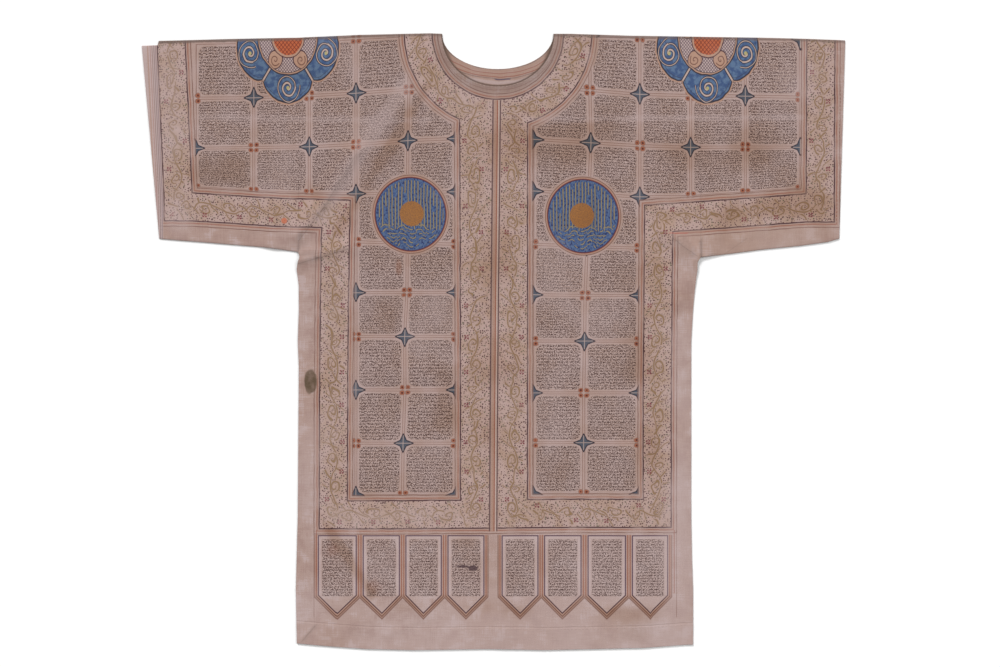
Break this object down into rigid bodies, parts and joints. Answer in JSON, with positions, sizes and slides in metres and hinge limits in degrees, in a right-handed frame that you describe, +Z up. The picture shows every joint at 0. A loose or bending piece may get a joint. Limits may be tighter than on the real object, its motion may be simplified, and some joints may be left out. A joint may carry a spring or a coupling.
{
  "type": "talismanic shirt",
  "caption": "Long cotton talismanic shirt with short wide sleeves and a round neck, laid flat, painted with framed panels, bands, stars and discs.",
  "frame": {"origin": "middle of the underside of the laid-out shirt, on the surface it rests on", "axes": "+X across the spread sleeves, +Y from the hem to the shoulders, +Z up out of the cloth's painted face"},
  "size_m": [1.3012, 1.1404, 0.0072],
  "materials": {
    "painted_cotton": "matte",
    "plain_cotton": "matte"
  },
  "bodies": {
    "root": {"front_panel": "painted_cotton", "back_panel": "plain_cotton", "left_sleeve": "painted_cotton", "right_sleeve": "painted_cotton"}
  },
  "joints": []
}
